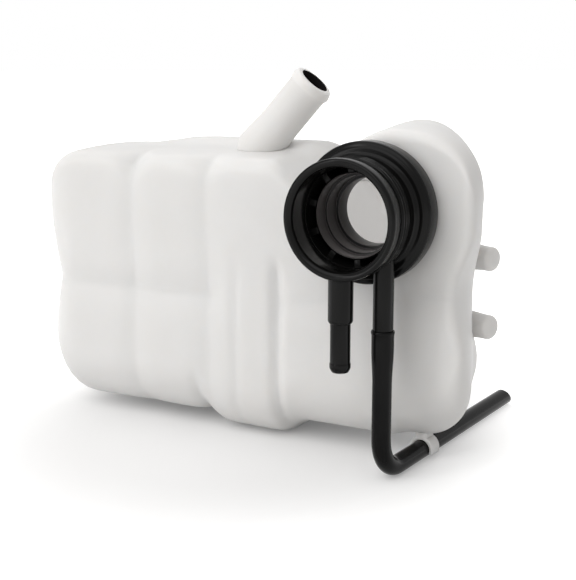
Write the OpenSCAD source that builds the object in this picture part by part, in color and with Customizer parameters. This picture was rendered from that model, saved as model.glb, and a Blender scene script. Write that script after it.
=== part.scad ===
// Coolant expansion tank, blow moulded, with a black filler neck and an overflow hose.
// Lengths are millimetres. +Z is up, the tank is as long as X, the neck points to -Y.
// The origin is on the floor under the middle of the whole part.
// Inside the modules X = 0, Y = 0 is the centre of the neck's mouth and Z = 0 is the floor.

/* [Tank body] */
// Height of the neck's axis above the floor
neck_height = 132; // [126:1:150]
// From the neck's axis to the left end
left_reach = 219; // [200:1:240]
// From the neck's axis to the right end
right_reach = 51; // [47:1:60]
// From the neck's mouth to the front face
neck_stand = 42; // [40.5:0.5:44]
// From the front face to the back face
tank_depth = 96; // [80:1:120]
// Top of the long body above the neck's axis
body_rise = 23; // [15:1:30]
// Clearance of the left part above the floor
left_lift = 5.2; // [1:0.2:12]
// Clearance of the right part above the floor, over the hose
right_lift = 11.6; // [10.4:0.2:16]
// Wall thickness
wall = 2.5; // [1.5:0.1:4]

/* [Body edges] */
// Upper left corner of the outline
high_corner = 36; // [20:1:46]
// Lower left corner of the outline
low_corner = 30; // [15:1:36]
// Lower right corner of the outline
right_corner = 27; // [15:1:32]
// Corner in plan at the left end
plan_radius = 29; // [15:1:36]
// Edge between the front face and the top
brow_radius = 8; // [4:0.5:14]
// Edge between the front face and the bottom
chin_radius = 30; // [12:1:34]
// Edges of the back half
back_radius = 22; // [10:1:30]
// Fall of the top from the parting line to the front and back edges
crown = 2.6; // [0:0.2:5]
// Height of the raised rear half of the top, on which the outlet stands
shelf = 5; // [0:0.5:8]
// How far the right end leans in for each millimetre of depth
end_slant = 0.45; // [0.4:0.05:0.6]

/* [Pillows and grooves] */
// Groove between the first and the second pillow column
groove_1_x = -149; // [-170:1:-130]
// Groove between the second column and the flat panel
groove_2_x = -100; // [-120:1:-92]
// Depth of these two grooves
groove_depth = 3; // [0:0.5:8]
// Half width of these two grooves
groove_half_width = 18; // [12:1:24]
// Shallow line on the left side of the flat panel
line_x = -82; // [-88:1:-76]
// Narrow groove on the right side of the flat panel
slot_x = -57; // [-64:1:-50]
// Depth of the narrow groove
slot_depth = 4; // [1:0.5:6]
// Notch across the underside where the lower right part begins
notch_x = -108; // [-114:1:-106]
// Height of the groove between the pillow rows
row_z = 79; // [70:1:90]
// Depth of the groove between the rows
row_depth = 3; // [0:0.5:8]
// How far the left end is drawn in at the row groove
waist_depth = 4.5; // [0:0.5:12]
// How far the front edge of the right end is drawn in at the row groove
right_waist = 6.5; // [0:0.5:8]

/* [Round end above the neck] */
// Centre of the round end, to the right of the neck's axis
dome_x = 10; // [8:0.5:16]
// Centre of the round end above the neck's axis
dome_rise = 6; // [0:0.5:10]
// Height of the round end above its centre
dome_height = 35.5; // [30:0.5:42]
// Rounding of the rim of the round end
dome_edge = 5; // [4:0.5:12]

/* [Filler neck] */
// Outside diameter of the mouth
mouth_d = 58; // [54:0.5:60]
// Bore of the mouth
bore_d = 49.2; // [46:0.2:50]
// Diameter of the drum that covers the spout
drum_d = 70; // [66:0.5:74]
// From the mouth to the front of the drum
drum_start = 27; // [26:0.5:28.5]
// From the mouth to the back of the drum
drum_end = 40; // [38:0.5:40]
// Smallest bore of the inner sleeve
throat_d = 33.6; // [28:0.2:34]
// Distance between two thread ridges
thread_pitch = 2.8; // [2.4:0.1:3.2]
// Number of ribs that carry the inner sleeve
rib_count = 10; // [6:1:12]

/* [Spigots of the neck] */
// Outside diameter of the upper length of the stepped spigot
step_d = 12.2; // [11:0.1:13]
// Outside diameter of its lower length
tip_d = 9.9; // [9:0.1:10.5]
// Its lower end below the neck's axis
tip_drop = 74.4; // [66:0.2:80]
// Outside diameter of the overflow spigot
overflow_d = 10; // [9:0.1:11]
// Its place to the right of the neck's axis
overflow_x = 15.6; // [14:0.2:18]
// Its place behind the mouth
overflow_y = 19; // [17:0.5:20]
// Lower end of its thick length below the neck's axis
overflow_drop = 54.4; // [48:0.2:60]

/* [Overflow hose] */
// Outside diameter of the hose
hose_d = 9.6; // [9:0.1:10.2]
// Bore of the hose
hose_bore = 6.4; // [6:0.1:7]
// Radius of the bend at the floor
bend_r = 18; // [13:0.5:20]
// Straight length that runs back under the tank
tail_length = 142.6; // [110:0.2:170]

/* [Spigots of the tank] */
// Outside diameter of the slanted outlet
outlet_d = 22.4; // [20:0.2:24]
// Bore of the slanted outlet
outlet_bore = 16.6; // [14:0.2:18]
// Length of the slanted outlet from the top of the tank
outlet_length = 42.4; // [30:0.2:48]
// Diameter of the two mounting pegs
peg_d = 12.8; // [11:0.2:14]
// From the hose's bend back to the middle of the hose clip
clip_place = 31; // [28:1:60]
// Length of the hose clip along the hose
clip_length = 9; // [6:0.5:12]

/* [Hidden] */
$fn = 72;
x_left = -left_reach;
front_y = neck_stand;
back_y = neck_stand + tank_depth;
parting_y = neck_stand + tank_depth * 0.42;
body_top = neck_height + body_rise;
dome_z = neck_height + dome_rise;
dome_r = right_reach - dome_x;
valley_gap = 6.2;
valley_x = dome_x - dome_r - valley_gap;
mouth_r = mouth_d / 2;
bore_r = bore_d / 2;
drum_r = drum_d / 2;
cup_r = drum_r - 3.2;
sleeve_r = bore_r - 3.1;
spout_r = cup_r - 0.5;
spout_bore_r = mouth_r - 1.5;
plug_r = spout_bore_r - 0.3;
seal_start = drum_start + 3;
seal_end = seal_start + 1.5;
thread_start = 10.4;
land_end = 13.5;
belly = 0.3;
shelf_start = -176;
panel_top = row_z + 24;
tail_z = hose_d / 2;
tail_heading = 3.5;
cut_slant = 30;
hose_top = neck_height - overflow_drop;
stub_d = hose_bore - 0.1;
outlet_lean = [0.661, 0.06, 0.748];
outlet_base = [-83.5, front_y + 40, neck_height + 29.5];
peg_lean = [0.951, -0.309, 0];
// The plain wall of a peg, measured back from its tip: it ends clear of the tank
peg_nose = 2.8;
peg_root = 7;
upper_peg_z = neck_height - 28;
lower_peg_z = neck_height - 64;
swell_z = lower_peg_z - 17;
stem_width = 6.4;
half_span = (right_reach + left_reach) / 2;
tail_end_y = overflow_y + (bend_r + tail_length) * cos(tail_heading);
shift_x = left_reach - half_span;
shift_y = -tail_end_y / 2;

function smooth(a, b, v) =
    let (t = min(1, max(0, (v - a) / (b - a)))) t * t * (3 - 2 * t);
function crease(d, w) = pow(max(0, 1 - abs(d) / w), 2);
function hollow(d, w) = abs(d) >= w ? 0 : 0.5 + 0.5 * cos(180 * d / w);
function round_in(d, r) = d >= r ? 0 : r - sqrt(max(0, r * r - pow(r - max(0, d), 2)));

// Top, bottom, front and back of the section at x, all set in by t
function long_top(x, t) =
    body_top - t - 0.8 * crease(x - groove_1_x, 26) - 14 * smooth(slot_x - 6, valley_x, x)
    - round_in(x - x_left - t, high_corner - t);
function round_top(x, t) =
    dome_z + (dome_height - t) * (x < dome_x ? 1 - pow((dome_x - x) / (dome_r + 8 - t), 2)
    : pow(max(0, 1 - pow((x - dome_x) / (dome_r - t), 2.4)), 1 / 2.4));
function top_at(x, t) = x < valley_x ? long_top(x, t) : round_top(x, t);
function bottom_at(x, t) =
    t + belly + left_lift * (1 - smooth(notch_x - 4, notch_x + 12, x)) + 5 * crease(x - notch_x, 10)
    + (right_lift - 3) * smooth(slot_x - 7, slot_x + 9, x) + 3 * smooth(4, 18, x)
    + round_in(x - x_left - t, low_corner - t)
    + round_in(right_reach - t - x, right_corner - t);
function front_at(x, t) =
    front_y + t + round_in(x - x_left - t, plan_radius - t)
    + round_in(right_reach - t - x, dome_edge - t);
function back_at(x, t) =
    back_y - t - round_in(x - x_left - t, plan_radius - t)
    - round_in(right_reach - t - x, back_radius - t);
function crowned(x, y) =
    crown * pow((y - parting_y) / 50, 2)
    - shelf * (smooth(shelf_start, shelf_start + 40, x) - smooth(slot_x, slot_x + 18, x))
    * smooth(parting_y - 3, parting_y + 9, y);

// Height of the groove between the rows, which climbs towards the right end
function row_at(x) = row_z + 12 * smooth(slot_x, 24, x);

// How far the front is pressed in at x and z
function pressed(x, z) =
    let (panel = smooth(groove_2_x, line_x - 4, x) - smooth(slot_x - 2, slot_x + 5, x))
    let (low = 1 - smooth(panel_top - 9, panel_top, z))
    let (right = smooth(12, 44, x))
    groove_depth * crease(x - groove_1_x, groove_half_width)
    + groove_depth * 0.8 * crease(x - groove_2_x, groove_half_width)
    + row_depth * (1 - panel - 0.45 * smooth(slot_x, slot_x + 10, x) + 0.8 * right)
    * crease(z - row_at(x), 18)
    + 1.2 * crease(x - line_x, 5) * low
    + slot_depth * crease(x - slot_x, 6) * low;

// A point of the section, moved by the grooves, the drawn-in left end and the slanted right end
function shaped(x, y, z) =
    let (fore = 1 - smooth(front_y + 14, parting_y + 8, y))
    let (tail = smooth(valley_x, right_reach, x))
    let (end = 1 - smooth(x_left, x_left + plan_radius + 12, x))
    let (edge = 1 - smooth(front_y + 8, front_y + 30, y))
    let (swell = 5.5 * hollow(z - swell_z, 22) * smooth(parting_y - 12, parting_y + 6, y))
    let (inward = 3 * (1 - smooth(upper_peg_z - 14, upper_peg_z + 18, z)))
    [
        x + waist_depth * end * hollow(z - row_z, 42)
        - tail * (end_slant * max(0, y - front_y - 16) - swell + inward
        + right_waist * edge * hollow(z - row_at(x), 34)),
        y + fore * pressed(x, z),
        z
    ];

// One closed section at x, set in by t, with n steps on each long side and m on each corner.
// It starts at the top, runs down the front and comes back up the rear.
function section(x, t, n, m) =
    let (zt = top_at(x, t), zb = bottom_at(x, t), yf = front_at(x, t), yb = back_at(x, t))
    let (pinch = 12 * crease(x - groove_1_x, 20) + 8 * crease(x - groove_2_x, 18))
    let (rim = smooth(-20, 0, x) * (dome_edge - brow_radius))
    let (depth = yb - yf, rt = min(brow_radius + pinch + rim - t, depth * 0.3))
    let (rb = min(chin_radius - t, depth * 0.45), rr = min(back_radius - t, depth * 0.4))
    let (c = m + 2)
    let (high = (yf + rt + yb - rr) / 2, low = (yf + rb + yb - rr) / 2)
    let (brow = zt - rt - crowned(x, yf), chin = zb + rb, row = row_at(x), h = n / 2)
    let (back_top = zt - rr - crowned(x, yb), back_low = zb + rr)
    [
        shaped(x, high, zt + belly - crowned(x, high)),
        let (y = high - (high - yf - rt) / 2) shaped(x, y, zt + belly * 0.7 - crowned(x, y)),
        each [for (i = [0:m]) let (a = 90 * i / m, y = yf + rt * (1 - sin(a)))
            shaped(x, y, zt - rt * (1 - cos(a)) - crowned(x, y))],
        each [for (i = [1:h]) shaped(x, yf, brow + (row - brow) * i / h)],
        each [for (i = [1:h - 1]) shaped(x, yf, row + (chin - row) * i / h)],
        each [for (i = [0:c]) let (a = 90 * i / c)
            shaped(x, yf + rb * (1 - cos(a)), zb + rb * (1 - sin(a)))],
        shaped(x, (yf + rb + low) / 2, zb - belly * 0.7),
        shaped(x, low, zb - belly),
        shaped(x, (low + yb - rr) / 2, zb - belly * 0.7),
        each [for (i = [0:c]) let (a = 90 * i / c)
            shaped(x, yb - rr * (1 - sin(a)), zb + rr * (1 - cos(a)))],
        each [for (i = [1:h]) shaped(x, yb, back_low + (row - back_low) * i / h)],
        each [for (i = [1:h - 1]) shaped(x, yb, row + (back_top - row) * i / h)],
        each [for (i = [0:m]) let (a = 90 * i / m, y = yb - rr * (1 - cos(a)))
            shaped(x, y, zt - rr * (1 - sin(a)) - crowned(x, y))],
        let (y = (high + yb - rr) / 2) shaped(x, y, zt + belly * 0.7 - crowned(x, y))
    ];

// Stations along the tank: close together at the ends and at the grooves
function stations(t, k) = let (bend_end = x_left + plan_radius) concat(
    [for (i = [0:2 * k]) x_left + t + (plan_radius - t) * (1 - cos(90 * i / (2 * k + 1)))],
    [for (i = [0:2 * k - 1]) bend_end + (groove_1_x - bend_end) * i / (2 * k)],
    [for (i = [0:2 * k - 1]) groove_1_x + (notch_x - 9 - groove_1_x) * i / (2 * k)],
    [notch_x - 9, notch_x, groove_2_x],
    [for (i = [1:k]) groove_2_x + (line_x - 3 - groove_2_x) * i / k],
    [line_x, line_x + 3, (line_x + slot_x) / 2, slot_x - 5, slot_x, slot_x + 5],
    [for (i = [1:k]) slot_x + 5 + (valley_x - 5 - slot_x) * i / k],
    [for (i = [1:2 * k]) valley_x + (dome_x - valley_x) * i / (2 * k)],
    [for (i = [1:3 * k]) dome_x + (dome_r - t) * sin(90 * i / (3 * k))]
);

// The closed skin. The flat left end is closed row by row, from the front to the back; the right
// end gets points between them as well, which follow its slant and its swell.
module skin(t, k, n, m) {
    across = [0.17, 0.36, 0.62];
    xs = stations(t, k);
    rings = [for (x = xs) section(x, t, n, m)];
    count = len(rings[0]);
    half = count / 2;
    last = len(rings) - 1;
    end = rings[last];
    between = [for (j = [1:half - 1]) for (f = across)
        let (p = end[j] + (end[count - j] - end[j]) * f)
        [shaped(xs[last], p[1], p[2])[0], p[1], p[2]]];
    function at(j, c) = j == 0 || c == 0 ? last * count + j
        : j == half || c > len(across) ? last * count + count - j
        : (last + 1) * count + (j - 1) * len(across) + c - 1;
    sides = [for (i = [0:last - 1]) for (j = [0:count - 1])
        let (a = i * count + j, b = i * count + (j + 1) % count)
        each [[a, a + count, b], [b, a + count, b + count]]];
    low_end = [for (j = [0:half - 1]) let (p = count - j, q = count - j - 1)
        each (j == 0 ? [[0, 1, q]] : j + 1 == q ? [[j, q, p]] : [[j, q, p], [j, j + 1, q]])];
    high_end = [for (j = [0:half - 1]) for (c = [0:len(across)])
        let (a = at(j, c), b = at(j, c + 1), d = at(j + 1, c + 1), e = at(j + 1, c))
        each (j == 0 ? [[a, d, e]] : j + 1 == half ? [[a, b, d]] : [[a, b, d], [a, d, e]])];
    polyhedron(concat([for (r = rings) each r], between), concat(sides, low_end, high_end));
}

module aim(direction) {
    rotate([0, acos(direction[2] / norm(direction)), atan2(direction[1], direction[0])])
        children();
}

// Puts a shape that was made along +Z on the neck's axis, with Z = 0 at the mouth
module along_neck() {
    translate([0, 0, neck_height])
        rotate([-90, 0, 0])
            children();
}

// A ring about the neck's axis: outside radius, bore radius, start and end behind the mouth
module neck_ring(outer, inner, start, end) {
    along_neck()
        translate([0, 0, start])
            difference() {
                cylinder(r = outer, h = end - start);
                translate([0, 0, -1])
                    cylinder(r = inner, h = end - start + 2);
            }
}

module outlet_rod(d, start, length) {
    translate(outlet_base)
        aim(outlet_lean)
            translate([0, 0, start])
                cylinder(d = d, h = length);
}

// Slanted outlet with a slightly flared root, a low bead and a rounded mouth
module outlet() {
    r = outlet_d / 2;
    bead = outlet_length - 7;
    translate(outlet_base)
        aim(outlet_lean)
            rotate_extrude()
                polygon([
                    [outlet_bore / 2 - 1, -12], [r + 1.6, -12], [r + 1, 0], [r + 0.3, 7], [r, 11],
                    [r, bead], [r + 0.9, bead + 2.4], [r + 0.8, bead + 3.4], [r - 0.1, bead + 6],
                    [r - 1, bead + 6.8], [r - 1.8, bead + 7], [outlet_bore / 2 - 1, bead + 7]
                ]);
}

// Blunt mounting peg at height z on the slanted right end
module peg(z) {
    r = peg_d / 2;
    translate([right_reach - 4, front_y + 46, z])
        aim(peg_lean)
            rotate_extrude()
                polygon([
                    [0, -26], [r + 1, -26], [r + 0.6, -15], [r, -peg_root], [r, -peg_nose], [r - 0.5, -1.2],
                    [r - 1.6, -0.2], [r - 2.6, 0], [0, 0]
                ]);
}

// Clip under the right part: an open ring round the hose and the stem that carries it
module hose_clip() {
    inner = hose_d / 2 + 0.15;
    translate([overflow_x, overflow_y, tail_z])
        rotate([0, 0, -tail_heading])
            translate([0, bend_r + clip_place - clip_length / 2, 0])
                rotate([-90, 0, 0]) {
                    rotate([0, 0, 160])
                        rotate_extrude(angle = 240)
                            translate([inner, 0])
                                square([1.9, clip_length]);
                    translate([-stem_width / 2, -tail_z - right_lift - 3, 0])
                        cube([stem_width, tail_z + right_lift + 2 - inner, clip_length]);
                }
}

module tank_shell() {
    color([0.92, 0.92, 0.9])
    difference() {
        union() {
            difference() {
                skin(0, 3, 10, 4);
                skin(wall, 2, 4, 2);
            }
            outlet();
            neck_ring(spout_r, spout_bore_r - 1, seal_end, front_y + 4);
            hose_clip();
            peg(upper_peg_z);
            peg(lower_peg_z);
        }
        outlet_rod(outlet_bore, -30, outlet_length + 40);
        along_neck()
            translate([0, 0, seal_end - 5])
                cylinder(r = spout_bore_r, h = front_y - seal_end + 20);
    }
}

// Side of the neck from the mouth to the drum: radius against distance from the mouth
module neck_side() {
    ridge = mouth_r - 0.2;
    root = mouth_r - 1.2;
    polygon(concat(
        [
            [bore_r, 2.2], [bore_r + 0.5, 0.9], [bore_r + 1.5, 0.2], [bore_r + 2.5, 0],
            [mouth_r - 1.2, 0], [mouth_r - 0.35, 0.35], [mouth_r, 1.2], [mouth_r, 6.8],
            [root, 7.8]
        ],
        [for (i = [0:2]) let (y = thread_start + i * thread_pitch)
            each [[root, y], [ridge, y + 0.7], [ridge, y + 1.3], [root, y + 2]]],
        [
            [root, drum_start - 2], [root + 0.6, drum_start - 0.7], [root + 2, drum_start],
            [drum_r - 3.2, drum_start], [drum_r - 2.6, drum_start + 0.5],
            [drum_r - 1.6, drum_start + 0.7], [drum_r - 0.5, drum_start + 1.2],
            [drum_r, drum_start + 2.2], [drum_r, drum_end - 3.4],
            [drum_r - 0.5, drum_end - 3], [drum_r - 0.5, drum_end - 1],
            [drum_r - 1.2, drum_end], [cup_r, drum_end], [cup_r, seal_start],
            [plug_r, seal_start], [plug_r, drum_end + 3.2], [plug_r - 0.8, drum_end + 4],
            [bore_r - 0.4, drum_end + 4], [bore_r - 0.4, land_end + 1], [bore_r, land_end]
        ]
    ));
}

// Stepped sleeve inside the neck
module sleeve_side() {
    throat_r = throat_d / 2;
    polygon([
        [sleeve_r - 0.9, 19], [sleeve_r - 0.3, 19.2], [sleeve_r, 20], [sleeve_r, drum_end - 1.6],
        [bore_r + 0.4, drum_end - 1.6], [bore_r + 0.4, drum_end + 0.8],
        [throat_r + 2.4, drum_end + 0.8], [throat_r + 2.4, drum_end + 5.2],
        [throat_r + 1.8, drum_end + 6], [throat_r + 0.5, drum_end + 6],
        [throat_r, drum_end + 5.4], [throat_r, drum_start + 9.6], [throat_r + 0.5, drum_start + 9],
        [throat_r + 1.9, drum_start + 9], [throat_r + 1.9, drum_start + 0.6],
        [throat_r + 2.4, drum_start], [sleeve_r - 1.3, drum_start], [sleeve_r - 1.3, 19.8]
    ]);
}

module drop_rod(x, y, d, low, high) {
    translate([x, y, low])
        cylinder(d = d, h = high - low);
}

module filler_neck() {
    step_x = -1.5;
    step_y = 7.5;
    step_low = neck_height - tip_drop * 0.668;
    tip_low = neck_height - tip_drop;
    stub_low = hose_top - 15;
    color([0.05, 0.05, 0.055])
    difference() {
        union() {
            along_neck()
                rotate_extrude() {
                    neck_side();
                    sleeve_side();
                }
            for (i = [0:rib_count - 1])
                along_neck()
                    rotate([0, 0, 85 + i * 360 / rib_count])
                        translate([sleeve_r - 0.5, -1.7, 18])
                            cube([bore_r - sleeve_r + 1, 3.4, drum_end - 19]);
            drop_rod(step_x, step_y, step_d, step_low, neck_height - bore_r - 1);
            drop_rod(step_x, step_y, step_d - 1, step_low - 0.6, step_low + 1);
            drop_rod(step_x, step_y, tip_d, tip_low + 1.2, step_low + 1);
            drop_rod(step_x, step_y, tip_d + 0.5, tip_low + 2.2, tip_low + 4.6);
            drop_rod(step_x, step_y, tip_d - 1.4, tip_low, tip_low + 2);
            drop_rod(overflow_x, overflow_y, overflow_d, hose_top, neck_height - 19.5);
            drop_rod(overflow_x, overflow_y, stub_d, stub_low, hose_top + 1);
        }
        drop_rod(step_x, step_y, tip_d - 4.2, tip_low - 1, neck_height - bore_r + 2);
        drop_rod(overflow_x, overflow_y, stub_d - 2.6, stub_low - 1, neck_height - 16.5);
    }
}

module neck_seal() {
    color([0.1, 0.1, 0.1])
    neck_ring(spout_r - 0.1, plug_r + 0.1, seal_start, seal_end);
}

// Hose along its whole route, as a solid rod of diameter d, longer than the slanted cut at its end
module hose_rod(d, over) {
    bend_z = tail_z + bend_r;
    translate([overflow_x, overflow_y, bend_z])
        rotate([0, 0, -tail_heading]) {
            cylinder(d = d, h = hose_top - bend_z + over);
            translate([0, bend_r, 0])
                rotate([0, 90, 0])
                    rotate([0, 0, -90])
                        rotate_extrude(angle = 90)
                            translate([bend_r, 0])
                                circle(d = d);
            translate([0, bend_r, -bend_r])
                rotate([-90, 0, 0])
                    cylinder(d = d, h = tail_length + 2 + over);
        }
}

module overflow_hose() {
    flare = hose_d + 1.4;
    color([0.09, 0.09, 0.09])
    difference() {
        union() {
            hose_rod(hose_d, -1);
            drop_rod(overflow_x, overflow_y, flare, hose_top - 10, hose_top - 0.5);
            drop_rod(overflow_x, overflow_y, flare + 0.6, hose_top - 1.6, hose_top);
            translate([overflow_x, overflow_y, hose_top - 26])
                cylinder(d1 = hose_d, d2 = flare, h = 16);
        }
        hose_rod(hose_bore, 1);
        translate([overflow_x, overflow_y, 0])
            rotate([0, 0, -tail_heading])
                translate([-hose_d, bend_r + tail_length, 0])
                    rotate([cut_slant, 0, 0])
                        translate([0, 0, -hose_d])
                            cube([2 * hose_d, 2 * hose_d, 3 * hose_d]);
    }
}

module placed() {
    translate([shift_x, shift_y, 0])
        children();
}

placed() tank_shell();
placed() filler_neck();
placed() neck_seal();
placed() overflow_hose();
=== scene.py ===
import math

import bmesh
import bpy
from mathutils import Matrix, Vector
from mathutils.bvhtree import BVHTree


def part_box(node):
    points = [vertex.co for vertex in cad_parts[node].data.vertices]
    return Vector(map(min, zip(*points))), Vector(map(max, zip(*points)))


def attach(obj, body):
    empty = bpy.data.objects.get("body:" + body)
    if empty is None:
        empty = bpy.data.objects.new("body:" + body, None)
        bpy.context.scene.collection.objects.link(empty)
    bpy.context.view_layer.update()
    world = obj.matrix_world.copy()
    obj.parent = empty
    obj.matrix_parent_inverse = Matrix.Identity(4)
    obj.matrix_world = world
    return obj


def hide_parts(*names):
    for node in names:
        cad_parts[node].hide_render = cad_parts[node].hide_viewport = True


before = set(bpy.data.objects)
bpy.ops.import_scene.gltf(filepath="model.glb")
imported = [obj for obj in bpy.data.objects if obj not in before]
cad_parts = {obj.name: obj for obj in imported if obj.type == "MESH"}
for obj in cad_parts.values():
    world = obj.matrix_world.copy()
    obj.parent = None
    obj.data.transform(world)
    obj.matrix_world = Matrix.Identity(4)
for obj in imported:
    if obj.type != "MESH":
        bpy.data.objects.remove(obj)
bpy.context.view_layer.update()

# Coolant expansion tank with a black filler neck and an overflow hose.
# Shapes are worked out in millimetres about the neck: X = 0, Y = 0 is the centre of its mouth,
# Z = 0 is the floor and the neck opens towards -Y. to_frame() puts them into the frame, in metres.

MM = 0.001
neck_low, neck_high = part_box("filler_neck")
DRUM_RADIUS = 35.0
NECK_HEIGHT = 132.0
MOUTH_X = (neck_low[0] + neck_high[0]) / 2
MOUTH_Y = neck_low[1]

# Tank body
WALL = 2.5
X_LEFT, X_RIGHT = -219.0, 51.0
FRONT_Y, DEPTH = 42.0, 96.0
BACK_Y = FRONT_Y + DEPTH
PARTING_Y = FRONT_Y + DEPTH * 0.42
BODY_TOP = NECK_HEIGHT + 23.0
LEFT_LIFT, RIGHT_LIFT = 5.2, 11.6
HIGH_CORNER, LOW_CORNER, RIGHT_CORNER = 36.0, 30.0, 27.0
PLAN_RADIUS, BROW_RADIUS, CHIN_RADIUS, BACK_RADIUS = 29.0, 8.0, 30.0, 22.0
CROWN, SHELF, SHELF_START, END_SLANT, BELLY = 2.6, 5.0, -176.0, 0.45, 0.3
GROOVE_1_X, GROOVE_2_X, GROOVE_DEPTH, GROOVE_HALF = -149.0, -100.0, 2.4, 18.0
LINE_X, LINE_DEPTH, SLOT_X, SLOT_DEPTH = -82.0, 1.2, -57.0, 4.0
NOTCH_X, NOTCH_DEPTH, VALLEY_DROP = -108.0, 5, 14
ROW_Z, ROW_DEPTH, WAIST_DEPTH, RIGHT_WAIST = 79.0, 2.4, 4.5, 6.5
PANEL_TOP, SWELL_Z, SWELL = ROW_Z + 24, 51.0, 5.5
PEG_HEIGHTS, PEG_SEAT_DEPTH = (NECK_HEIGHT - 28, NECK_HEIGHT - 64), 3.0
DOME_X, DOME_HEIGHT, DOME_EDGE = 10.0, 35.5, 5.0
DOME_Z = NECK_HEIGHT + 6.0
DOME_R = X_RIGHT - DOME_X
VALLEY_X = DOME_X - DOME_R - 6.2

# Neck
MOUTH_R, BORE_R, THROAT_R = 29.0, 24.6, 16.8
CUP_R, SLEEVE_R, SLEEVE_START = DRUM_RADIUS - 3.2, BORE_R - 3.1, 19
SPOUT_R, SPOUT_BORE_R = CUP_R - 0.5, MOUTH_R - 1.5
PLUG_R = SPOUT_BORE_R - 0.3
DRUM_START, DRUM_END = 27.0, 40.0
SEAL_START = DRUM_START + 3
SEAL_END = SEAL_START + 1.5
THREAD_START, THREAD_END, THREAD_PITCH, LAND_END = 10.4, 18.6, 2.8, 13.5
THREAD_ROOT_R, THREAD_RISE = MOUTH_R - 1.2, 1.05
RIB_COUNT, FIRST_RIB, RIB_HALF, RIB_START = 10, 85, 1.7, 18
STEP_X, STEP_Y, STEP_R, TIP_R = -1.5, 7.5, 6.1, 4.95
TIP_DROP = 74.4
TIP_LOW = NECK_HEIGHT - TIP_DROP
STEP_LOW = NECK_HEIGHT - TIP_DROP * 0.668
STEP_HIGH = NECK_HEIGHT - BORE_R - 1
OVER_X, OVER_Y, OVER_R, OVER_HIGH = 15.6, 19.0, 5.0, NECK_HEIGHT - 19.5

# Hose
HOSE_R, HOSE_BORE_R = 4.8, 3.2
HOSE_TOP = NECK_HEIGHT - 54.4
STUB_LOW = HOSE_TOP - 15
BEND_R, TAIL_LENGTH, TAIL_HEADING, CUT_SLANT = 18.0, 142.6, math.radians(3.5), math.radians(30)
CLIP_PLACE, CLIP_LENGTH, CLIP_START, CLIP_SWEEP = 31.0, 9.0, 160, 220

# Tubes and pegs of the tank
OUTLET_R, OUTLET_BORE_R, OUTLET_LENGTH = 11.2, 8.3, 42.4
OUTLET_BASE = Vector((-83.5, FRONT_Y + 40, NECK_HEIGHT + 29.5))
OUTLET_LEAN = Vector((0.661, 0.06, 0.748)).normalized()
PEG_R, PEG_LEAN = 6.4, Vector((0.951, -0.309, 0)).normalized()
PEG_TIP_X, PEG_TIP_Y = 47, FRONT_Y + 46


def to_frame(p):
    """A point in millimetres about the neck, as metres in the frame."""
    return Vector((p[0] * MM + MOUTH_X, p[1] * MM + MOUTH_Y, p[2] * MM))


def smooth(a, b, v):
    """A soft step from 0 at a to 1 at b."""
    t = min(1, max(0, (v - a) / (b - a)))
    return t * t * (3 - 2 * t)


def crease(d, w):
    """1 at the line of a crease, falling to 0 at w beside it, with a sharp middle."""
    return max(0, 1 - abs(d) / w) ** 2


def hollow(d, w):
    """1 at the middle of a hollow, falling to 0 at w beside it, with a soft middle."""
    return 0.5 + 0.5 * math.cos(math.pi * min(1, abs(d) / w))


def round_in(d, r):
    """How far a corner of radius r draws an edge in, d from its end."""
    return 0 if d >= r else r - math.sqrt(max(0, r * r - (r - max(0, d)) ** 2))


# The tank's outline, set in by t

def long_top(x, t):
    return (BODY_TOP - t - 0.8 * crease(x - GROOVE_1_X, 26)
            - VALLEY_DROP * smooth(SLOT_X - 6, VALLEY_X, x)
            - round_in(x - X_LEFT - t, HIGH_CORNER - t))


def round_top(x, t):
    if x < DOME_X:
        rise = 1 - ((DOME_X - x) / (DOME_R + 8 - t)) ** 2
    else:
        rise = max(0, 1 - ((x - DOME_X) / (DOME_R - t)) ** 2.4) ** (1 / 2.4)
    return DOME_Z + (DOME_HEIGHT - t) * rise


def top_at(x, t):
    return long_top(x, t) if x < VALLEY_X else round_top(x, t)


def bottom_at(x, t):
    return (t + BELLY + LEFT_LIFT * (1 - smooth(NOTCH_X - 4, NOTCH_X + 12, x))
            + NOTCH_DEPTH * crease(x - NOTCH_X, 10)
            + (RIGHT_LIFT - 3) * smooth(SLOT_X - 7, SLOT_X + 9, x) + 3 * smooth(4, 18, x)
            + round_in(x - X_LEFT - t, LOW_CORNER - t)
            + round_in(X_RIGHT - t - x, RIGHT_CORNER - t))


def front_at(x, t):
    return (FRONT_Y + t + round_in(x - X_LEFT - t, PLAN_RADIUS - t)
            + round_in(X_RIGHT - t - x, DOME_EDGE - t))


def back_at(x, t):
    return (BACK_Y - t - round_in(x - X_LEFT - t, PLAN_RADIUS - t)
            - round_in(X_RIGHT - t - x, BACK_RADIUS - t))


def crowned(x, y):
    """Fall of the top away from the parting line, and the raised rear half under the outlet."""
    raised = smooth(SHELF_START, SHELF_START + 40, x) - smooth(SLOT_X, SLOT_X + 18, x)
    return (CROWN * ((y - PARTING_Y) / 50) ** 2
            - SHELF * raised * smooth(PARTING_Y - 3, PARTING_Y + 9, y))


def row_at(x):
    return ROW_Z + 12 * smooth(SLOT_X, 24, x)


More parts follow.
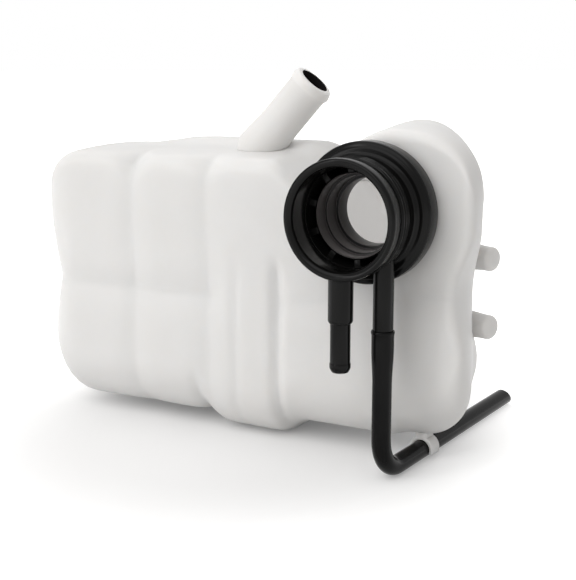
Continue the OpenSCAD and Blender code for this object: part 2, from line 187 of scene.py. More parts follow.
def pressed(x, z):
    """How far the front is pressed in by the grooves."""
    panel = smooth(GROOVE_2_X, LINE_X - 4, x) - smooth(SLOT_X - 2, SLOT_X + 5, x)
    low = 1 - smooth(PANEL_TOP - 9, PANEL_TOP, z)
    right = smooth(12, 44, x)
    between_rows = 1 - panel - 0.45 * smooth(SLOT_X, SLOT_X + 10, x) + 0.8 * right
    return (GROOVE_DEPTH * crease(x - GROOVE_1_X, GROOVE_HALF)
            + GROOVE_DEPTH * 0.8 * crease(x - GROOVE_2_X, GROOVE_HALF)
            + ROW_DEPTH * between_rows * crease(z - row_at(x), 18)
            + LINE_DEPTH * crease(x - LINE_X, 5) * low
            + SLOT_DEPTH * crease(x - SLOT_X, 6) * low)


def shaped(x, y, z):
    """A point of the section, moved by the grooves, the waist and the slanted right end."""
    fore = 1 - smooth(FRONT_Y + 14, PARTING_Y + 8, y)
    tail = smooth(VALLEY_X, X_RIGHT, x)
    end = 1 - smooth(X_LEFT, X_LEFT + PLAN_RADIUS + 12, x)
    edge = 1 - smooth(FRONT_Y + 8, FRONT_Y + 30, y)
    swell = SWELL * hollow(z - SWELL_Z, 22) * smooth(PARTING_Y - 12, PARTING_Y + 6, y)
    inward = PEG_SEAT_DEPTH * (1 - smooth(PEG_HEIGHTS[0] - 14, PEG_HEIGHTS[0] + 18, z))
    lean = (END_SLANT * max(0, y - FRONT_Y - 16) - swell + inward
            + RIGHT_WAIST * edge * hollow(z - row_at(x), 34))
    return Vector((x + WAIST_DEPTH * end * hollow(z - ROW_Z, 42) - tail * lean,
                   y + fore * pressed(x, z), z))


def section(x, t, across, corner, face):
    """One closed ring of the tank at x, set in by t: down the front and back up the rear."""
    zt, zb, yf, yb = top_at(x, t), bottom_at(x, t), front_at(x, t), back_at(x, t)
    pinch = 12 * crease(x - GROOVE_1_X, 20) + 8 * crease(x - GROOVE_2_X, 18)
    rim = smooth(-20, 0, x) * (DOME_EDGE - BROW_RADIUS)
    depth = yb - yf
    rt = min(BROW_RADIUS + pinch + rim - t, depth * 0.3)
    rb = min(CHIN_RADIUS - t, depth * 0.45)
    rr = min(BACK_RADIUS - t, depth * 0.4)
    high, low = (yf + rt + yb - rr) / 2, (yf + rb + yb - rr) / 2
    row = row_at(x)
    brow, chin = zt - rt - crowned(x, yf), zb + rb
    back_top, back_low = zt - rr - crowned(x, yb), zb + rr
    quarter = [math.pi / 2 * i / corner for i in range(corner + 1)]

    def on_top(y):
        bow = 1 - ((y - high) / (high - yf - rt)) ** 2 if y < high else \
            1 - ((y - high) / (yb - rr - high)) ** 2
        return shaped(x, y, zt + BELLY * bow - crowned(x, y))

    def below(y):
        bow = 1 - ((y - low) / (low - yf - rb)) ** 2 if y < low else \
            1 - ((y - low) / (yb - rr - low)) ** 2
        return shaped(x, y, zb - BELLY * bow)

    def between(start, end, count):
        return [start + (end - start) * i / count for i in range(1, count)]

    ring = [on_top(high)]
    ring += [on_top(y) for y in between(high, yf + rt, across)]
    for a in quarter:
        y = yf + rt * (1 - math.sin(a))
        ring.append(shaped(x, y, zt - rt * (1 - math.cos(a)) - crowned(x, y)))
    ring += [shaped(x, yf, z) for z in between(brow, row, face) + [row] + between(row, chin, face)]
    ring += [shaped(x, yf + rb * (1 - math.cos(a)), zb + rb * (1 - math.sin(a)))
             for a in quarter]
    ring += [below(y) for y in between(yf + rb, low, across)]
    ring.append(below(low))
    ring += [below(y) for y in between(low, yb - rr, across)]
    ring += [shaped(x, yb - rr * (1 - math.sin(a)), zb + rr * (1 - math.cos(a)))
             for a in quarter]
    ring += [shaped(x, yb, z)
             for z in between(back_low, row, face) + [row] + between(row, back_top, face)]
    for a in quarter:
        y = yb - rr * (1 - math.cos(a))
        ring.append(shaped(x, y, zt - rr * (1 - math.sin(a)) - crowned(x, y)))
    ring += [on_top(y) for y in between(yb - rr, high, across)]
    return ring


def stations(t, step, bend):
    """Places along the tank: step apart, and by angle round its two ends."""
    marks = [X_LEFT + PLAN_RADIUS, GROOVE_1_X, NOTCH_X, GROOVE_2_X, LINE_X, SLOT_X, VALLEY_X,
             DOME_X]
    places = [X_LEFT + t + (PLAN_RADIUS - t) * (1 - math.cos(math.pi / 2 * i / bend))
              for i in range(bend)]
    for a, b in zip(marks, marks[1:]):
        count = max(2, round((b - a) / step))
        places += [a + (b - a) * i / count for i in range(count)]
    places += [DOME_X + (DOME_R - t) * math.sin(math.pi / 2 * i / bend) for i in range(bend + 1)]
    return places


def new_piece(name, mesh):
    piece = bpy.data.objects.new(name, mesh)
    bpy.context.scene.collection.objects.link(piece)
    return piece


def finish_mesh(name, bm):
    """Turns worked geometry into a piece, with its faces pointing outwards."""
    bmesh.ops.recalc_face_normals(bm, faces=bm.faces)
    mesh = bpy.data.meshes.new(name)
    bm.to_mesh(mesh)
    bm.free()
    return new_piece(name, mesh)


def close_end(bm, ring, columns, x):
    """Closes a ring row by row, front to back. Points between them lie on the end wall at x."""
    half = len(ring) // 2
    between = []
    rows = [[ring[0]] * (columns + 1)]
    for j in range(1, half):
        front, back = ring[j], ring[-j]
        row = [front]
        for i in range(1, columns):
            p = front.co.lerp(back.co, i / columns)
            y, z = (p.y - MOUTH_Y) / MM, p.z / MM
            row.append(bm.verts.new(to_frame((shaped(x, y, z).x, y, z))))
        between += row[1:]
        rows.append(row + [back])
    rows.append([ring[half]] * (columns + 1))
    for a, b in zip(rows, rows[1:]):
        for i in range(columns):
            corners = list(dict.fromkeys((a[i], a[i + 1], b[i + 1], b[i])))
            bm.faces.new(corners)
    return between


def skin(name, t, step, bend, across, corner, face, softened):
    """The blown skin, set in by t, as one closed piece, with its creases eased softened times."""
    rings = [section(x, t, across, corner, face) for x in stations(t, step, bend)]
    count = len(rings[0])
    bm = bmesh.new()
    rows = [[bm.verts.new(to_frame(p)) for p in ring] for ring in rings]
    for a, b in zip(rows, rows[1:]):
        for j in range(count):
            bm.faces.new((a[j], a[(j + 1) % count], b[(j + 1) % count], b[j]))
    close_end(bm, rows[0], 1, None)
    columns = close_end(bm, rows[-1], 14, X_RIGHT - t)
    inner = [v for row in rows[2:] for v in row] + columns
    for _ in range(softened):
        bmesh.ops.smooth_vert(bm, verts=inner, factor=0.5, use_axis_x=True, use_axis_y=True,
                              use_axis_z=True)
    return finish_mesh(name, bm)


def turned(name, profile, steps, place):
    """A closed loop of (radius, height), turned about +Z and then placed."""
    bm = bmesh.new()
    rings = []
    for r, h in profile:
        if r < 1e-6:
            rings.append([bm.verts.new(place @ Vector((0, 0, h)))] * steps)
            continue
        ring = []
        for i in range(steps):
            a = 2 * math.pi * i / steps
            ring.append(bm.verts.new(place @ Vector((r * math.cos(a), r * math.sin(a), h))))
        rings.append(ring)
    for a, b in zip(rings, rings[1:] + rings[:1]):
        for i in range(steps):
            j = (i + 1) % steps
            corners = []
            for v in (a[i], a[j], b[j], b[i]):
                if v not in corners:
                    corners.append(v)
            if len(corners) > 2:
                bm.faces.new(corners)
    for v in bm.verts:
        v.co = to_frame(v.co)
    return finish_mesh(name, bm)


def rounded(points, radius, steps=3):
    """A closed profile with each corner rounded, as far as its sides allow."""
    out = []
    count = len(points)
    for i, p in enumerate(points):
        p = Vector(p)
        before, after = Vector(points[i - 1]) - p, Vector(points[(i + 1) % count]) - p
        if p.x < 1e-6 or before.length < 1e-6 or after.length < 1e-6:
            out.append(tuple(p))
            continue
        reach = min(radius, before.length * 0.45, after.length * 0.45)
        a, b = p + before.normalized() * reach, p + after.normalized() * reach
        for k in range(steps + 1):
            u = k / steps
            q = a * (1 - u) ** 2 + p * 2 * u * (1 - u) + b * u * u
            out.append(tuple(q))
    return out


def combine(base, tool, how):
    """Joins tool to base ("UNION") or cuts it out ("DIFFERENCE"). The tool is used up."""
    change = base.modifiers.new("combine", "BOOLEAN")
    change.operation = how
    change.solver = "MANIFOLD"
    change.object = tool
    graph = bpy.context.evaluated_depsgraph_get()
    shape = bpy.data.meshes.new_from_object(base.evaluated_get(graph))
    base.modifiers.clear()
    base.data = shape
    bpy.data.objects.remove(tool)


def aimed(base, lean):
    """Places a shape made along +Z at base, along lean."""
    return Matrix.Translation(base) @ lean.to_track_quat("Z", "Y").to_matrix().to_4x4()


def upright(x, y):
    return Matrix.Translation((x, y, 0))


# Turned shapes of the neck are made along +Z from the mouth; this lays them along +Y
ALONG_NECK = Matrix.Translation((0, 0, NECK_HEIGHT)) @ Matrix.Rotation(math.radians(-90), 4, "X")


def refinish(piece, material, chosen):
    """Gives the faces that chosen() picks another finish."""
    piece.data.materials.append(material)
    index = len(piece.data.materials) - 1
    for face in piece.data.polygons:
        if chosen(face):
            face.material_index = index


def in_outlet(face):
    """Whether a face of the tank lies in the outlet's bore, from 4 mm under its base up."""
    away = face.center - to_frame(OUTLET_BASE)
    along = away.dot(OUTLET_LEAN)
    across = (away - OUTLET_LEAN * along).length
    return (-4 * MM < along < (OUTLET_LENGTH - 0.5) * MM
            and across < (OUTLET_BORE_R + 0.05) * MM)


def in_sleeve(face):
    """Whether a face of the neck looks inwards from within its sleeve."""
    x, z = face.center.x - MOUTH_X, face.center.z - NECK_HEIGHT * MM
    r = math.hypot(x, z)
    inward = -(face.normal.x * x + face.normal.z * z)
    return (face.center.y > MOUTH_Y + SLEEVE_START * MM and r < (SLEEVE_R - 0.5) * MM
            and inward > 0.3 * r)


def settle(piece, node, material, sharp):
    """Dresses a piece, keeps edges over sharp degrees sharp, and puts it in its place."""
    piece.data.materials.clear()
    piece.data.materials.append(material)
    piece.data.shade_smooth()
    piece.data.set_sharp_from_angle(angle=math.radians(sharp))
    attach(piece, "root")
    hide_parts(node)


# Finishes

def group_of(name, inputs, outputs):
    """An empty shader node group with named sockets: (name, kind, value) and (name, kind)."""
    group = bpy.data.node_groups.new(name, "ShaderNodeTree")
    for label, kind, value in inputs:
        socket = group.interface.new_socket(label, in_out="INPUT", socket_type=kind)
        socket.default_value = value
    for label, kind in outputs:
        group.interface.new_socket(label, in_out="OUTPUT", socket_type=kind)
    return group, group.nodes.new("NodeGroupInput"), group.nodes.new("NodeGroupOutput")


def moulded_surface():
    """Fine grain of the mould and the slow waves of a moulded wall, as a normal."""
    group, given, out = group_of("moulded_surface", [
        ("Grain Size", "NodeSocketFloat", 900.0), ("Grain Depth", "NodeSocketFloat", 0.05),
        ("Wave Size", "NodeSocketFloat", 30.0), ("Wave Depth", "NodeSocketFloat", 0.2),
    ], [("Normal", "NodeSocketVector")])
    nodes, links = group.nodes, group.links
    place = nodes.new("ShaderNodeTexCoord")
    grain, wave = nodes.new("ShaderNodeTexNoise"), nodes.new("ShaderNodeTexNoise")
    grain.inputs["Detail"].default_value = 3
    wave.inputs["Detail"].default_value = 2
    fine, broad = nodes.new("ShaderNodeBump"), nodes.new("ShaderNodeBump")
    fine.inputs["Distance"].default_value = 0.0002
    broad.inputs["Distance"].default_value = 0.001
    for noise, size in ((grain, "Grain Size"), (wave, "Wave Size")):
        links.new(place.outputs["Object"], noise.inputs["Vector"])
        links.new(given.outputs[size], noise.inputs["Scale"])
    links.new(grain.outputs["Fac"], fine.inputs["Height"])
    links.new(wave.outputs["Fac"], broad.inputs["Height"])
    links.new(given.outputs["Grain Depth"], fine.inputs["Strength"])
    links.new(given.outputs["Wave Depth"], broad.inputs["Strength"])
    links.new(broad.outputs["Normal"], fine.inputs["Normal"])
    links.new(fine.outputs["Normal"], out.inputs["Normal"])
    return group


def clouds(group, size, detail):
    """Soft clouds over a piece and their spread, which runs from its To Min to its To Max."""
    nodes, links = group.nodes, group.links
    place, cloud = nodes.new("ShaderNodeTexCoord"), nodes.new("ShaderNodeTexNoise")
    cloud.inputs["Detail"].default_value = detail
    spread = nodes.new("ShaderNodeMapRange")
    spread.inputs["From Min"].default_value = 0.3
    spread.inputs["From Max"].default_value = 0.7
    links.new(place.outputs["Object"], cloud.inputs["Vector"])
    links.new(size, cloud.inputs["Scale"])
    links.new(cloud.outputs["Fac"], spread.inputs["Value"])
    return cloud, spread


def uneven_tone():
    """Two tones that drift into each other in soft clouds."""
    group, given, out = group_of("uneven_tone", [
        ("Tone", "NodeSocketColor", (0.8, 0.8, 0.8, 1)),
        ("Other Tone", "NodeSocketColor", (0.7, 0.7, 0.7, 1)),
        ("Size", "NodeSocketFloat", 14.0),
    ], [("Color", "NodeSocketColor")])
    cloud, spread = clouds(group, given.outputs["Size"], 3)
    cloud.inputs["Roughness"].default_value = 0.45
    mix, links = group.nodes.new("ShaderNodeMix"), group.links
    mix.data_type = "RGBA"
    links.new(spread.outputs["Result"], mix.inputs["Factor"])
    links.new(given.outputs["Tone"], mix.inputs["A"])
    links.new(given.outputs["Other Tone"], mix.inputs["B"])
    links.new(mix.outputs["Result"], out.inputs["Color"])
    return group


def handled_sheen():
    """Roughness that drifts a little, as on a part that has been handled."""
    group, given, out = group_of("handled_sheen", [
        ("Smoothest", "NodeSocketFloat", 0.3), ("Roughest", "NodeSocketFloat", 0.45),
        ("Size", "NodeSocketFloat", 40.0),
    ], [("Roughness", "NodeSocketFloat")])
    spread, links = clouds(group, given.outputs["Size"], 4)[1], group.links
    links.new(given.outputs["Smoothest"], spread.inputs["To Min"])
    links.new(given.outputs["Roughest"], spread.inputs["To Max"])
    links.new(spread.outputs["Result"], out.inputs["Roughness"])
    return group


SURFACE, TONE, SHEEN = moulded_surface(), uneven_tone(), handled_sheen()


def finish(name, tone, other_tone, cloud, sheen, grain, wave, sockets):
    """A moulded finish. sheen is (smoothest, roughest), grain and wave are (size, depth)."""
    material = bpy.data.materials.new(name)
    material.use_nodes = True
    nodes, links = material.node_tree.nodes, material.node_tree.links
    shader = nodes["Principled BSDF"]

    def use(group, output, target, **values):
        node = nodes.new("ShaderNodeGroup")
        node.node_tree = group
        for label, value in values.items():
            node.inputs[label.replace("_", " ")].default_value = value
        links.new(node.outputs[output], shader.inputs[target])

    use(TONE, "Color", "Base Color", Tone=(*tone, 1), Other_Tone=(*other_tone, 1), Size=cloud)
    use(SHEEN, "Roughness", "Roughness", Smoothest=sheen[0], Roughest=sheen[1], Size=cloud * 2)
    use(SURFACE, "Normal", "Normal", Grain_Size=grain[0], Grain_Depth=grain[1],
        Wave_Size=wave[0], Wave_Depth=wave[1])
    for label, value in sockets.items():
        shader.inputs[label].default_value = value
    return material


def milky_plastic(name, tone, other_tone, sheen, depth):
    """Natural plastic that light goes into, depth in metres."""
    return finish(name, tone, other_tone, 16, sheen, (900, 0.12), (26, 0.25),
                  {"Subsurface Weight": 1.0, "Subsurface Radius": (1.0, 0.95, 0.9),
                   "Subsurface Scale": depth, "IOR": 1.45, "Specular IOR Level": 0.35})


natural_plastic = milky_plastic(
    "natural_plastic", (0.69, 0.684, 0.676), (0.67, 0.662, 0.65), (0.36, 0.46), 0.005)
# The inside of the same wall, painted near white and more see-through than the outside: painted
# light, standing in for the light that comes in through the walls.
inner_painted_light = milky_plastic(
    "inner_painted_light", (0.995, 0.985, 0.97), (0.985, 0.97, 0.95), (0.4, 0.5), 0.05)
black_plastic = finish(
    "black_plastic", (0.003, 0.003, 0.003), (0.005, 0.005, 0.0048), 30, (0.12, 0.2),
    (1500, 0.06), (60, 0.12), {"IOR": 1.45, "Specular IOR Level": 0.12})
# Black plastic of the sleeve, painted a lighter grey-brown: a painted reflection of the tank's
# bright inside.
sleeve_painted_reflection = finish(
    "sleeve_painted_reflection", (0.045, 0.04, 0.04), (0.06, 0.053, 0.052), 30, (0.3, 0.4),
    (1500, 0.06), (60, 0.12), {"IOR": 1.45, "Specular IOR Level": 0.2})
deep_shade = finish(
    "deep_shade", (0.006, 0.005, 0.005), (0.012, 0.01, 0.01), 30, (0.7, 0.8),
    (1500, 0.1), (60, 0.12), {"IOR": 1.45, "Specular IOR Level": 0.1})
hose_rubber = finish(
    "hose_rubber", (0.003, 0.003, 0.003), (0.005, 0.005, 0.005), 40, (0.16, 0.24),
    (1400, 0.06), (80, 0.1), {"IOR": 1.45, "Specular IOR Level": 0.09})
seal_rubber = finish(
    "seal_rubber", (0.012, 0.012, 0.012), (0.02, 0.02, 0.02), 60, (0.6, 0.75),
    (1600, 0.3), (80, 0.1), {"IOR": 1.5})


# Tank

def outlet_tube():
    """Slanted outlet: a flared root, drawn in under the top, a low bead and a rounded mouth."""
    bead, r = OUTLET_LENGTH - 7, OUTLET_R
    profile = [(0, -16), (r - 2, -16), (r + 1.4, -9), (r + 1, 0), (r + 0.55, 4), (r + 0.2, 8),
               (r, 11), (r, bead), (r + 0.45, bead + 1.2), (r + 0.85, bead + 2.4),
               (r + 0.75, bead + 3.4), (r + 0.3, bead + 5), (r - 0.2, bead + 6),
               (r - 0.8, bead + 6.6), (r - 1.5, bead + 6.85), (0, bead + 6.85)]
    return turned("outlet_tube", profile, 96, aimed(OUTLET_BASE, OUTLET_LEAN))


def rod(name, r, low, high, place, steps=96):
    return turned(name, [(0, low), (r, low), (r, high), (0, high)], steps, place)


def peg(z):
    """Blunt closed peg on the slanted end, with a small fillet at its root."""
    r = PEG_R
    profile = [(0, -26), (r + 1, -26), (r + 0.6, -15), (r + 0.2, -9), (r, -7), (r, -2.8),
               (r - 0.2, -1.8), (r - 0.8, -0.9), (r - 1.8, -0.3), (r - 2.8, 0), (0, 0)]
    return turned("peg", profile, 64, aimed(Vector((PEG_TIP_X, PEG_TIP_Y, z)), PEG_LEAN))


def spout():
    profile = rounded([(SPOUT_BORE_R - 1, SEAL_END), (SPOUT_R, SEAL_END),
                       (SPOUT_R, FRONT_Y + 6), (SPOUT_BORE_R - 1, FRONT_Y + 6)], 0.5)
    return turned("spout", profile, 128, ALONG_NECK)


def clip_place():
    """Matrix at the middle of the clip: Z along the hose, X to the right, Y down."""
    on_tail = Matrix.Translation((OVER_X, OVER_Y, HOSE_R)) @ Matrix.Rotation(-TAIL_HEADING, 4, "Z")
    return (on_tail @ Matrix.Translation((0, BEND_R + CLIP_PLACE, 0))
            @ Matrix.Rotation(math.radians(-90), 4, "X"))


def block(name, low, high, place, bevel):
    """A box between two corners, with rounded edges."""
    bm = bmesh.new()
    bmesh.ops.create_cube(bm, size=1)
    for v in bm.verts:
        v.co = Vector([low[k] if v.co[k] < 0 else high[k] for k in range(3)])
    bmesh.ops.bevel(bm, geom=bm.edges[:], offset=bevel, segments=3, profile=0.5, affect="EDGES")
    for v in bm.verts:
        v.co = to_frame(place @ v.co)
    return finish_mesh(name, bm)


def clip_ring():
    """The part of the clip that holds the hose: a ring that is open below."""
    inner, thick, half = HOSE_R + 0.15, 1.9, CLIP_LENGTH / 2
    place = clip_place()
    side = rounded([(inner, -half), (inner + thick, -half), (inner + thick, half),
                    (inner, half)], 0.5, 2)
    steps = 40
    bm = bmesh.new()
    rows = []
    for i in range(steps + 1):
        a = math.radians(CLIP_START + CLIP_SWEEP * i / steps)
        rows.append([bm.verts.new(to_frame(place @ Vector((r * math.cos(a), r * math.sin(a), h))))
                     for r, h in side])
    for a, b in zip(rows, rows[1:]):
        for j in range(len(side)):
            k = (j + 1) % len(side)
            bm.faces.new((a[j], a[k], b[k], b[j]))
    bm.faces.new(rows[0])
    bm.faces.new(rows[-1])
    return finish_mesh("clip_ring", bm)


def make_tank():
    tank = skin("tank", 0, step=1.6, bend=26, across=10, corner=9, face=26, softened=5)
    combine(tank, outlet_tube(), "UNION")
    combine(tank, spout(), "UNION")
    for z in PEG_HEIGHTS:
        combine(tank, peg(z), "UNION")
    combine(tank, clip_ring(), "UNION")
    stem_top = -HOSE_R - RIGHT_LIFT - 4
    combine(tank, block("stem", (-3.2, stem_top, -CLIP_LENGTH / 2),
                        (3.2, -HOSE_R - 0.4, CLIP_LENGTH / 2), clip_place(), 0.7), "UNION")
    inside = skin("inside", WALL, step=3.2, bend=12, across=4, corner=5, face=10, softened=2)
    inside_form = BVHTree.FromPolygons([v.co for v in inside.data.vertices],
                                       [p.vertices for p in inside.data.polygons])
    combine(tank, inside, "DIFFERENCE")
    place = aimed(OUTLET_BASE, OUTLET_LEAN)
    combine(tank, rod("outlet_bore", OUTLET_BORE_R, -30, OUTLET_LENGTH + 10, place), "DIFFERENCE")
    combine(tank, rod("spout_bore", SPOUT_BORE_R, SEAL_END - 5, FRONT_Y + 15, ALONG_NECK, 128),
            "DIFFERENCE")
    tank.name = "tank"
    settle(tank, "tank_shell", natural_plastic, 40)
    refinish(tank, deep_shade, in_outlet)
    # The inner faces of the wall take the painted light.
    refinish(tank, inner_painted_light,
             lambda face: inside_form.find_nearest(face.center)[3] < 0.05 * MM)


# Neck

def threaded_outside():
    """Profile points of the neck between the lip and the drum, which cut_thread() swells."""
    rows = 40
    return [(THREAD_ROOT_R, THREAD_START - 1 + (THREAD_END + 3 - THREAD_START) * i / rows)
            for i in range(rows + 1)]


def cut_thread(neck):
    """Raises the cap's thread: one ridge that climbs round the neck and fades at both ends."""
    for v in neck.data.vertices:
        x = (v.co.x - MOUTH_X) / MM
        y = (v.co.y - MOUTH_Y) / MM
        z = v.co.z / MM - NECK_HEIGHT
        r = math.hypot(x, z)
        if abs(r - THREAD_ROOT_R) > 0.05 or not THREAD_START - 1.2 < y < THREAD_END + 2.2:
            continue
        turn = math.atan2(z, x) / (2 * math.pi)
        along = (y - THREAD_START) / THREAD_PITCH - turn
        ridge = smooth(0.12, 0.34, abs(along - math.floor(along) - 0.5))
        ends = smooth(-0.1, 0.25, along) * (1 - smooth(2.9, 3.2, along))
        swollen = (r + THREAD_RISE * (1 - ridge) * ends) / r
        v.co.x = MOUTH_X + x * swollen * MM
        v.co.z = (NECK_HEIGHT + z * swollen) * MM


def neck_body():
    root = THREAD_ROOT_R
    lip = rounded([(BORE_R, LAND_END), (BORE_R, 2.2), (BORE_R + 0.5, 0.9), (BORE_R + 1.5, 0.2),
                   (BORE_R + 2.5, 0), (root, 0), (MOUTH_R - 0.35, 0.35), (MOUTH_R, 1.2),
                   (MOUTH_R, 6.8), (root, 7.8)], 0.3, 2)[3:]
    drum = rounded([(root, DRUM_START - 2), (root + 0.6, DRUM_START - 0.7), (root + 2, DRUM_START),
                    (DRUM_RADIUS - 3.2, DRUM_START), (DRUM_RADIUS - 2.6, DRUM_START + 0.5),
                    (DRUM_RADIUS - 1.6, DRUM_START + 0.7), (DRUM_RADIUS - 0.5, DRUM_START + 1.2),
                    (DRUM_RADIUS, DRUM_START + 2.2), (DRUM_RADIUS, DRUM_END - 3.4),
                    (DRUM_RADIUS - 0.5, DRUM_END - 3), (DRUM_RADIUS - 0.5, DRUM_END - 1),
                    (DRUM_RADIUS - 1.2, DRUM_END), (CUP_R, DRUM_END), (CUP_R, SEAL_START),
                    (PLUG_R, SEAL_START), (PLUG_R, DRUM_END + 3.2), (PLUG_R - 0.8, DRUM_END + 4),
                    (BORE_R - 0.4, DRUM_END + 4), (BORE_R - 0.4, LAND_END + 1),
                    (BORE_R, LAND_END)], 0.35, 2)[1:]
    neck = turned("filler_neck_body", lip + threaded_outside() + drum, 192, ALONG_NECK)
    cut_thread(neck)
    return neck


def neck_sleeve():
    side = rounded([
        (SLEEVE_R - 0.9, SLEEVE_START), (SLEEVE_R, SLEEVE_START + 0.6), (SLEEVE_R, DRUM_END - 1.6),
        (BORE_R + 0.4, DRUM_END - 1.6), (BORE_R + 0.4, DRUM_END + 0.8),
        (THROAT_R + 2.4, DRUM_END + 0.8), (THROAT_R + 2.4, DRUM_END + 5.2),
        (THROAT_R + 1.8, DRUM_END + 6), (THROAT_R + 0.5, DRUM_END + 6),
        (THROAT_R, DRUM_END + 5.4), (THROAT_R, DRUM_START + 9),
        (THROAT_R + 1.9, DRUM_START + 9), (THROAT_R + 1.9, DRUM_START),
        (SLEEVE_R - 1.3, DRUM_START), (SLEEVE_R - 1.3, SLEEVE_START + 0.4)], 0.35, 2)
    return turned("sleeve", side, 160, ALONG_NECK)


def stepped_spigot():
    side = rounded([
        (0, TIP_LOW), (TIP_R - 0.9, TIP_LOW), (TIP_R - 0.1, TIP_LOW + 1.4),
        (TIP_R + 0.25, TIP_LOW + 2.4), (TIP_R + 0.25, TIP_LOW + 4.2), (TIP_R, TIP_LOW + 4.8),
        (TIP_R, STEP_LOW - 0.6), (STEP_R - 0.6, STEP_LOW - 0.5), (STEP_R, STEP_LOW + 0.6),
        (STEP_R, STEP_HIGH), (0, STEP_HIGH)], 0.4, 2)
    return turned("spigot", side, 64, upright(STEP_X, STEP_Y))


def overflow_spigot():
    stub = HOSE_BORE_R - 0.05
    side = rounded([
        (0, STUB_LOW), (stub - 0.5, STUB_LOW), (stub, STUB_LOW + 1), (stub, HOSE_TOP),
        (OVER_R, HOSE_TOP), (OVER_R, OVER_HIGH), (0, OVER_HIGH)], 0.3, 2)
    return turned("overflow", side, 64, upright(OVER_X, OVER_Y))


def make_neck():
    neck = neck_body()
    combine(neck, neck_sleeve(), "UNION")
    for i in range(RIB_COUNT):
        angle = math.radians(FIRST_RIB + i * 360 / RIB_COUNT)
        turn = ALONG_NECK @ Matrix.Rotation(angle, 4, "Z")
        combine(neck, block("rib", (SLEEVE_R - 0.5, -RIB_HALF, RIB_START),
                            (BORE_R + 0.5, RIB_HALF, DRUM_END - 1), turn, 0.35), "UNION")
    combine(neck, stepped_spigot(), "UNION")
    combine(neck, overflow_spigot(), "UNION")
    combine(neck, rod("spigot_bore", TIP_R - 2.1, TIP_LOW - 1, NECK_HEIGHT - BORE_R + 2,
                      upright(STEP_X, STEP_Y), 48), "DIFFERENCE")
    combine(neck, rod("overflow_bore", HOSE_BORE_R - 1.35, STUB_LOW - 1, OVER_HIGH + 3,
                      upright(OVER_X, OVER_Y), 48), "DIFFERENCE")
    neck.name = "filler_neck_body"
    settle(neck, "filler_neck", black_plastic, 32)
    # The sleeve's inward faces take the painted reflection.
    refinish(neck, sleeve_painted_reflection, in_sleeve)


# Hose

def hose_route():
    """Points along the hose from its top, and the way it heads at each."""
    bend_z = HOSE_R + BEND_R
    back = Vector((math.sin(TAIL_HEADING), math.cos(TAIL_HEADING), 0))
    top = Vector((OVER_X, OVER_Y, HOSE_TOP))
    route = [(top - Vector((0, 0, d)), Vector((0, 0, -1)))
             for d in (0, 0.25, 0.7, 1.2, 1.6, 2.0, 5, 9, 10, 11, 14, 18, 22, 25, 27, 32, 40, 48)]
    centre = Vector((OVER_X, OVER_Y, bend_z)) + back * BEND_R
    for i in range(33):
        a = math.pi / 2 * i / 32
        out = -back * math.cos(a) - Vector((0, 0, 1)) * math.sin(a)
        way = back * math.sin(a) - Vector((0, 0, 1)) * math.cos(a)
        route.append((centre + out * BEND_R, way))
    start = route[-1][0]
    for i in range(1, 13):
        route.append((start + back * TAIL_LENGTH * i / 12, back))
    return route


def hose_radius(down):
    """Outside radius of the hose at a distance below its top."""
    if down < 1.7:
        return HOSE_R + 1.0 - 0.3 * abs(down - 0.85) ** 2
    return HOSE_R + 0.7 * (1 - smooth(9, 26, down))


def make_hose():
    steps = 40
    side = Vector((math.cos(TAIL_HEADING), -math.sin(TAIL_HEADING), 0))
    back = Vector((math.sin(TAIL_HEADING), math.cos(TAIL_HEADING), 0))
    route = hose_route()
    end = route[-1][0] - Vector((0, 0, HOSE_R))
    face = back * math.cos(CUT_SLANT) + Vector((0, 0, 1)) * math.sin(CUT_SLANT)
    bm = bmesh.new()

    def rings(radius_at):
        rows = []
        for n, (p, way) in enumerate(route):
            other = way.cross(side)
            row = []
            for i in range(steps):
                a = 2 * math.pi * i / steps
                q = p + (side * math.cos(a) + other * math.sin(a)) * radius_at(HOSE_TOP - p.z)
                if n == len(route) - 1:
                    q -= back * ((q - end).dot(face) / back.dot(face))
                row.append(bm.verts.new(to_frame(q)))
            rows.append(row)
        return rows

    outside, bore = rings(hose_radius), rings(lambda down: HOSE_BORE_R)
    for rows in (outside, bore):
        for a, b in zip(rows, rows[1:]):
            for i in range(steps):
                j = (i + 1) % steps
                bm.faces.new((a[i], a[j], b[j], b[i]))
    for k in (0, -1):
        for i in range(steps):
            j = (i + 1) % steps
            bm.faces.new((outside[k][i], outside[k][j], bore[k][j], bore[k][i]))
    hose = finish_mesh("overflow_hose_tube", bm)
    settle(hose, "overflow_hose", hose_rubber, 40)


make_tank()
make_neck()
make_hose()
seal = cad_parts["neck_seal"]
seal.data.materials.clear()
seal.data.materials.append(seal_rubber)


# Floor, light and camera

def unseen_by_light(tree):
    """1 for what the camera, a gloss or a clear piece sees, and 0 for what lights the part."""
    path = tree.nodes.new("ShaderNodeLightPath")
    total = path.outputs["Is Camera Ray"]
    for label in ("Is Glossy Ray", "Is Transmission Ray"):
        either = tree.nodes.new("ShaderNodeMath")
        either.operation = "MAXIMUM"
        tree.links.new(total, either.inputs[0])
        tree.links.new(path.outputs[label], either.inputs[1])
        total = either.outputs[0]
    return total


# Round this spot the floor glows less, which paints shade on it there on top of the object's own
# shadow; away from it the floor turns white
SHADED_SPOT, SHADED_NEAR, SHADED_FAR = (-0.01, -0.055, 0.0), 0.06, 0.3
FLOOR_RADIUS = 9.0


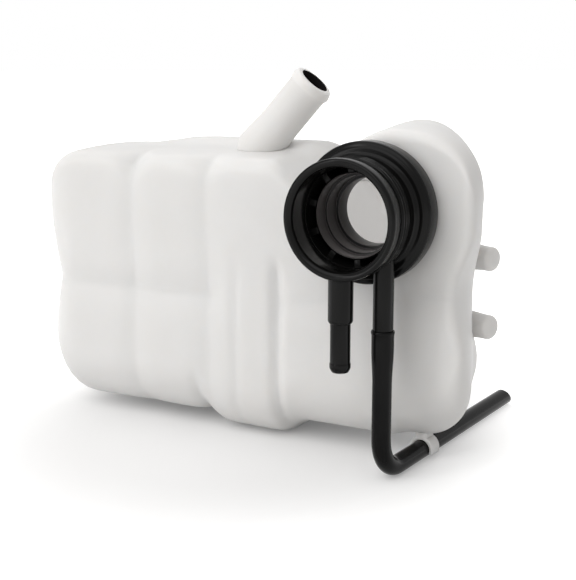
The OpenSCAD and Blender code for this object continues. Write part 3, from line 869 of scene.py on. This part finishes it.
def make_floor():
    bm = bmesh.new()
    bmesh.ops.create_circle(bm, cap_ends=True, radius=FLOOR_RADIUS, segments=64)
    mesh = bpy.data.meshes.new("floor")
    bm.to_mesh(mesh)
    bm.free()
    floor = new_piece("floor", mesh)
    material = bpy.data.materials.new("floor_paper")
    material.use_nodes = True
    tree = material.node_tree
    shader = tree.nodes["Principled BSDF"]
    shader.inputs["Base Color"].default_value = (0.74, 0.74, 0.74, 1)
    shader.inputs["Roughness"].default_value = 0.9
    shader.inputs["Specular IOR Level"].default_value = 0.1
    shader.inputs["Emission Color"].default_value = (1, 1, 1, 1)
    place, reach = tree.nodes.new("ShaderNodeTexCoord"), tree.nodes.new("ShaderNodeVectorMath")
    reach.operation = "DISTANCE"
    reach.inputs[1].default_value = SHADED_SPOT
    # Weaker glow near the spot: painted shade round the object.
    glow = tree.nodes.new("ShaderNodeMapRange")
    glow.interpolation_type = "SMOOTHSTEP"
    for label, value in (("From Min", SHADED_NEAR), ("From Max", SHADED_FAR),
                         ("To Min", 0.12), ("To Max", 1.0)):
        glow.inputs[label].default_value = value
    strength = tree.nodes.new("ShaderNodeMath")
    strength.operation = "MULTIPLY"
    tree.links.new(place.outputs["Object"], reach.inputs[0])
    tree.links.new(reach.outputs["Value"], glow.inputs["Value"])
    tree.links.new(unseen_by_light(tree), strength.inputs[0])
    tree.links.new(glow.outputs["Result"], strength.inputs[1])
    tree.links.new(strength.outputs[0], shader.inputs["Emission Strength"])
    floor.data.materials.append(material)


# The studio's light: brighter from the front left and low than from the back right and high
SKY_LEAN = (-0.5, -0.8, -0.4)
SKY_LOW, SKY_HIGH = 0.42, 1.12
TANK_MIDDLE = Vector((0.0, 0.0, 0.09))


def make_world():
    world = bpy.data.worlds.new("studio")
    bpy.context.scene.world = world
    world.use_nodes = True
    tree = world.node_tree
    seen = tree.nodes["Background"]
    seen.inputs["Color"].default_value = (1, 1, 1, 1)
    seen.inputs["Strength"].default_value = 1.0
    lit = tree.nodes.new("ShaderNodeBackground")
    lit.inputs["Color"].default_value = (1.0, 0.985, 0.97, 1)
    place, lean = tree.nodes.new("ShaderNodeTexCoord"), tree.nodes.new("ShaderNodeVectorMath")
    lean.operation = "DOT_PRODUCT"
    lean.inputs[1].default_value = SKY_LEAN
    fall = tree.nodes.new("ShaderNodeMapRange")
    for label, value in (("From Min", -1), ("From Max", 1),
                         ("To Min", SKY_LOW), ("To Max", SKY_HIGH)):
        fall.inputs[label].default_value = value
    tree.links.new(place.outputs["Generated"], lean.inputs[0])
    tree.links.new(lean.outputs["Value"], fall.inputs["Value"])
    tree.links.new(fall.outputs["Result"], lit.inputs["Strength"])
    mix = tree.nodes.new("ShaderNodeMixShader")
    tree.links.new(unseen_by_light(tree), mix.inputs["Fac"])
    tree.links.new(lit.outputs["Background"], mix.inputs[1])
    tree.links.new(seen.outputs["Background"], mix.inputs[2])
    tree.links.new(mix.outputs["Shader"], tree.nodes["World Output"].inputs["Surface"])


def make_lamp(name, place, width, height, power):
    """A soft lamp of width by height metres and power watts, turned to the middle of the tank."""
    lamp = bpy.data.lights.new(name, "AREA")
    lamp.shape = "RECTANGLE"
    lamp.size = width
    lamp.size_y = height
    lamp.energy = power
    holder = bpy.data.objects.new(name, lamp)
    bpy.context.scene.collection.objects.link(holder)
    holder.location = place
    aim = TANK_MIDDLE - Vector(place)
    holder.rotation_euler = aim.to_track_quat("-Z", "Y").to_euler()


# The photograph's view, found from the neck's two rims, the hose and the tank's outline
CAMERA_PLACE = (243.8, -494.7, NECK_HEIGHT + 80.5)
CAMERA_PITCH, CAMERA_TURN, LENS = 78.4, 28.6, 75


def make_camera():
    camera = bpy.data.cameras.new("camera")
    camera.sensor_fit = "HORIZONTAL"
    camera.sensor_width = 36
    camera.lens = LENS
    camera.clip_end = 40
    holder = bpy.data.objects.new("camera", camera)
    bpy.context.scene.collection.objects.link(holder)
    holder.location = to_frame(CAMERA_PLACE)
    holder.rotation_euler = (math.radians(CAMERA_PITCH), 0, math.radians(CAMERA_TURN))
    bpy.context.scene.camera = holder


make_floor()
make_world()
make_lamp("key_lamp", (-0.15, -0.95, 0.95), 1.0, 1.0, 6.4)
make_lamp("strip_lamp", (-0.5, -1.05, 0.3), 0.1, 0.8, 1.6)
make_lamp("top_lamp", (-0.1, 0.5, 1.2), 1.2, 1.2, 3.5)
make_camera()

scene = bpy.context.scene
scene.view_settings.view_transform = "Standard"
